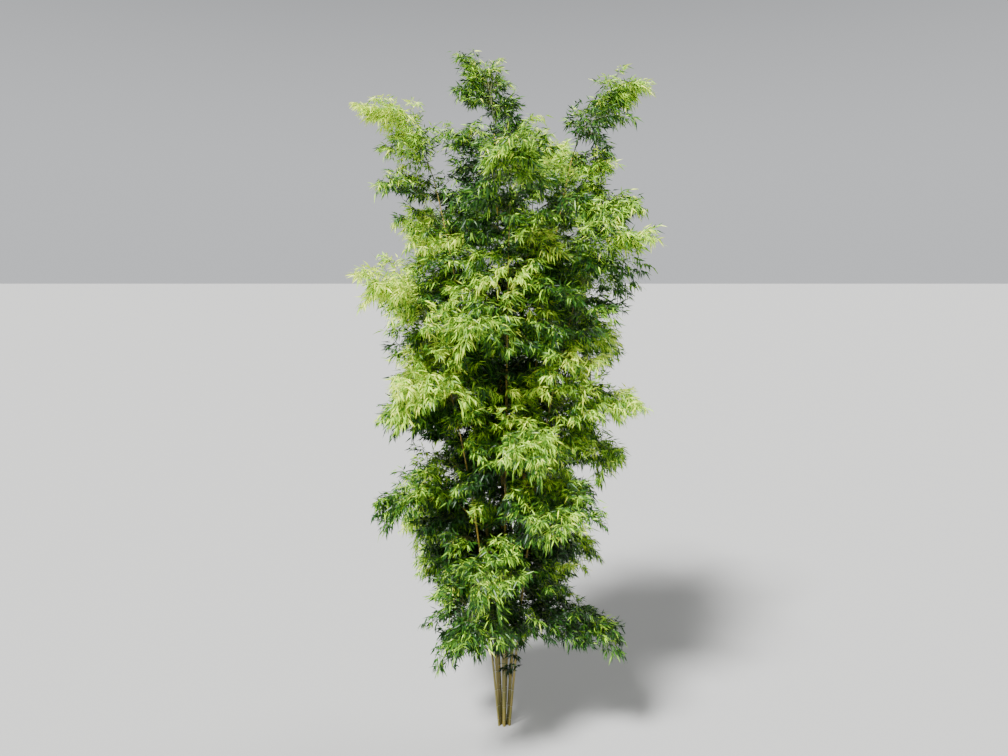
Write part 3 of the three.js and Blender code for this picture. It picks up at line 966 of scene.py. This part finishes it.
def tube_faces(steps, sides):
    """The faces of a tapering tube: a base, rings of quads and a pointed tip."""
    faces = [tuple(reversed(range(sides)))]
    for i in range(steps - 1):
        for k in range(sides):
            a = i * sides + k
            b = i * sides + (k + 1) % sides
            faces.append((a, b, b + sides, a + sides))
    tip = steps * sides
    faces += [((steps - 1) * sides + k, (steps - 1) * sides + (k + 1) % sides, tip) for k in range(sides)]
    return faces


def tube_places(bundle, base, tip, sides):
    """The rings of each limb's tube, from its base radius towards its tip radius, and the pointed end."""
    across = level(bundle.bearing + 90)
    rings = []
    for i in range(bundle.steps):
        s = i / bundle.steps
        heading = heading_of(bundle.bearing, bundle.tilt + bundle.nod * s)
        over = np.cross(across, heading)
        radius = np.reshape(base + (tip - base) * s, (-1, 1))
        for k in range(sides):
            turn = math.tau * k / sides
            rings.append(bundle.points[:, i] + (across * math.cos(turn) - over * math.sin(turn)) * radius)
    rings.append(bundle.tips)
    return np.stack(rings, axis=1)


def leaf_places(leaves, outline):
    """Each leaf is folded along its rib, and its tip sags."""
    heading = leaves["heading"]
    level_across = level(leaves["bearing"] + 90)
    level_over = np.cross(heading, level_across)
    twist = np.radians(leaves["twist"])[:, None]
    across = level_across * np.cos(twist) + level_over * np.sin(twist)
    over = np.cross(heading, across)
    length = leaves["length"][:, None]
    width = leaves["width"][:, None]
    places = []
    for along, aside, fold, sag in outline:
        place = leaves["root"] + heading * along * length + across * aside * width + over * fold * width
        place[:, 2] -= sag * leaves["length"]
        places.append(place)
    return np.stack(places, axis=1)


def add_piece(mesh, material, nodes=()):
    finish_piece(new_object(mesh.name, mesh), material, nodes)


def grow_foliage(settings):
    """Every limb and leaf of the foliage, within the reach of the mass nodes."""
    culms, _, masses = plan_clump()
    reach = Reach(masses, culms)
    rng = np.random.default_rng(SEED)
    laterals = joined([laterals_of(mass, settings, rng) for mass in masses])
    laterals = laterals.kept(reach.holds(laterals.tips))
    branches = side_branches(culms, rng)
    branches = branches.kept(reach.holds(branches.tips))
    outer_twigs = twigs_on(laterals, settings.twigs, LATERAL_TWIGS, rng)
    twigs = joined([outer_twigs, twigs_on(branches, settings.twigs + 1, SIDE_TWIGS, rng)])
    inner = np.arange(len(twigs.bearing)) >= len(outer_twigs.bearing)
    kept = reach.holds(twigs.tips)
    kept[kept] = in_company(twigs.tips[kept])
    twigs = twigs.kept(kept)
    inner = inner[kept]
    stalks = joined([
        fans_on(twigs.kept(~inner), settings.fans, rng),
        fans_on(twigs.kept(inner), settings.fans + 1, rng),
    ])
    stalks = stalks.kept(reach.holds(stalks.tips) & ~parted(culms, stalks.tips))
    leaves = leaves_on(stalks, settings, rng)
    places = leaf_places(leaves, LEAF_OUTLINE)
    kept = np.ones(len(places), dtype=bool)
    for corner in (-1, LEAF_RIB):
        kept &= reach.holds(places[:, corner]) & ~parted(culms, places[:, corner])
    return dict(
        masses=masses, reach=reach, laterals=laterals, side_branches=branches, twigs=twigs,
        leaf_stalks=stalks, leaves=picked(leaves, kept),
    )


# The operators, one for each group of like pieces
class CLUMP_OT_culms(Operator):
    """Build the eight jointed culms over their solids"""

    bl_idname = "clump.culms"
    bl_label = "Culms"

    def execute(self, context):
        settings = context.scene.clump_culms
        bark = culm_bark(settings)
        culms, _, _ = plan_clump()
        for culm in culms:
            rows = pole_rows(
                culm["length"], culm["nodes"], lambda s: culm_radius(culm, s) * settings.girth, FOOT_FLARE
            )
            pole = spin_pole(f"{culm['name']}_culm_bark", rows, settings.sides)
            mark_rings(pole, rows, culm["length"], roll(culm["order"], 9))
            bend_pole(pole, culm["limb"])
            cut_at_ground(pole)
            smooth_pole(pole)
            finish_piece(pole, bark, [f"{culm['name']}_culm"])
        return {"FINISHED"}


class CLUMP_OT_boughs(Operator):
    """Build the jointed boughs that carry the lower masses"""

    bl_idname = "clump.boughs"
    bl_label = "Boughs"

    def execute(self, context):
        settings = context.scene.clump_culms
        bark = bpy.data.materials["waxy_culm_bark"]
        _, boughs, _ = plan_clump()
        for bough in boughs:
            length = bough["limb"].length
            nodes = [length * share for share in BOUGH_NODES]
            rows = pole_rows(length, nodes, lambda s: BOUGH_RADIUS * (1 - BOUGH_TAPER * s))
            pole = spin_pole(f"{bough['name']}_bark", rows, settings.sides // 2)
            mark_rings(pole, rows, length)
            bend_pole(pole, bough["limb"])
            smooth_pole(pole)
            finish_piece(pole, bark, [bough["name"]])
        return {"FINISHED"}


class CLUMP_OT_foliage(Operator):
    """Grow the stems, twigs and leaves of the masses, and of the culms' other joints"""

    bl_idname = "clump.foliage"
    bl_label = "Foliage"

    def execute(self, context):
        settings = context.scene.clump_foliage
        grown = grow_foliage(settings)
        names = [mass["name"] for mass in grown["masses"]]
        bark = twig_bark(settings)
        stems = joined([stem_bundle(mass["stem"]) for mass in grown["masses"]])
        base = np.array([mass["radius"] for mass in grown["masses"]])
        places = tube_places(stems, base, base * STEM_TIP, STEM_SIDES)
        mesh = mesh_of_units("mass_stems", places, tube_faces(stems.steps, STEM_SIDES))
        add_piece(mesh, bark, names)
        for name, (thick, thin, sides) in THIN_LIMBS.items():
            places = tube_places(grown[name], thick, thin, sides)
            for mesh in meshes_of_units(name, places, tube_faces(grown[name].steps, sides)):
                add_piece(mesh, bark)
        self.add_leaves(grown, settings, names)
        return {"FINISHED"}

    def add_leaves(self, grown, settings, names):
        """The leaves are dealt into tints by spray, from painted shade inside the clump to painted sunlight
        at its tips.
        """
        stalks = grown["leaf_stalks"]
        tips = stalks.tips
        crown = np.clip((tips[:, 2] - CROWN_FROM) / CROWN_DEPTH, 0, CROWN_MOST)
        outward = np.maximum(np.hypot(tips[:, 0], tips[:, 1]) / OUTSIDE, crown)
        lift = np.clip(grown["reach"].lift(tips) / FULL_LIFT, -LIFT_MOST, LIFT_MOST)
        # Painted light: sprays further out, higher in their mass and higher up get lighter tints, inner and
        # lower ones darker
        light = LIGHT["least"] + LIGHT["outward"] * outward + LIGHT["lift"] * lift
        light = light + LIGHT["height"] * tips[:, 2] / CLUMP_HEIGHT + stalks.tone
        light = light[grown["leaves"]["stalk"]] + grown["leaves"]["tone"]
        tint = np.digitize(light, TINT_EDGES)
        for i, (name, color, breadth) in enumerate(TINTS):
            plain = i < PLAIN_TINTS
            leaves = picked(grown["leaves"], tint == i)
            leaves["width"] = leaves["width"] * breadth
            places = leaf_places(leaves, PLAIN_OUTLINE if plain else LEAF_OUTLINE)
            finish = leaf_finish(name, color, settings)
            for mesh in meshes_of_units(name, places, PLAIN_FACES if plain else LEAF_FACES):
                add_piece(mesh, finish, names)


class CLUMP_OT_stage(Operator):
    """Set the floor, the studio light and the camera at the photograph's viewing angle"""

    bl_idname = "clump.stage"
    bl_label = "Stage"

    def execute(self, context):
        settings = context.scene.clump_stage
        deselect_all()
        bpy.ops.mesh.primitive_plane_add(size=settings.floor_size, location=(0, 0, 0))
        floor = context.object
        floor.name = "floor"
        paper = Finish("pale_floor", FLOOR_COLOR, 0.9)
        paper.roughness(paper.remap(paper.noise(1.5), 0.3, 0.7, 0.85, 0.95))
        floor.data.materials.append(paper.material)
        self.add_light("key", settings.key)
        self.add_light("rim", settings.rim)
        self.add_walls(context, settings)
        self.add_camera(context, settings)
        return {"FINISHED"}

    def add_light(self, name, strength):
        """A distant light that shines from its place towards the origin, with edges as soft as its width."""
        place, width = LAMPS[name]
        light = bpy.data.lights.new(name, "SUN")
        light.angle = math.radians(width)
        light.energy = strength
        lamp = new_object(name, light)
        lamp.location = place
        lamp.rotation_euler = (-Vector(place)).to_track_quat("-Z", "Y").to_euler()

    def add_walls(self, context, settings):
        """The studio's pale walls, which darken towards its ceiling."""
        world = bpy.data.worlds.new("studio")
        context.scene.world = world
        world.use_nodes = True
        nodes = world.node_tree.nodes
        links = world.node_tree.links
        wall = nodes["Background"]
        wall.inputs["Color"].default_value = WALL_COLOR
        split = nodes.new("ShaderNodeSeparateXYZ")
        links.new(nodes.new("ShaderNodeTexCoord").outputs["Generated"], split.inputs["Vector"])
        fade = nodes.new("ShaderNodeMapRange")
        fade.interpolation_type = "SMOOTHSTEP"
        set_range(fade, (*WALL_HEIGHTS, *(settings.fill * share for share in WALL_SHARES)))
        links.new(split.outputs["Z"], fade.inputs["Value"])
        links.new(fade.outputs["Result"], wall.inputs["Strength"])

    def add_camera(self, context, settings):
        data = bpy.data.cameras.new("camera")
        data.lens = settings.lens
        data.sensor_width = SENSOR
        data.clip_end = FAR_CLIP
        camera = new_object("camera", data)
        camera.location = (0, -settings.camera_distance, settings.camera_height)
        camera.rotation_euler = (math.radians(90) - settings.camera_pitch, 0, 0)
        context.scene.camera = camera


class CLUMP_PT_bamboo(Panel):
    bl_label = "Bamboo clump"
    bl_idname = "CLUMP_PT_bamboo"
    bl_space_type = "VIEW_3D"
    bl_region_type = "UI"
    bl_category = "Bamboo"

    def draw(self, context):
        for name, group in SETTINGS.items():
            box = self.layout.box()
            for setting in group.__annotations__:
                box.prop(getattr(context.scene, name), setting)
        for operator in OPERATORS:
            self.layout.operator(operator.bl_idname)


OPERATORS = (CLUMP_OT_culms, CLUMP_OT_boughs, CLUMP_OT_foliage, CLUMP_OT_stage)
SETTINGS = dict(
    clump_culms=ClumpCulmSettings, clump_foliage=ClumpFoliageSettings, clump_stage=ClumpStageSettings
)
CLASSES = (*SETTINGS.values(), *OPERATORS, CLUMP_PT_bamboo)


def register():
    for part in CLASSES:
        bpy.utils.register_class(part)
    for name, group in SETTINGS.items():
        setattr(bpy.types.Scene, name, PointerProperty(type=group))


def unregister():
    for name in SETTINGS:
        delattr(bpy.types.Scene, name)
    for part in reversed(CLASSES):
        bpy.utils.unregister_class(part)


def main():
    register()
    bpy.ops.clump.culms()
    bpy.ops.clump.boughs()
    bpy.ops.clump.foliage()
    bpy.ops.clump.stage()


if __name__ == "__main__":
    main()
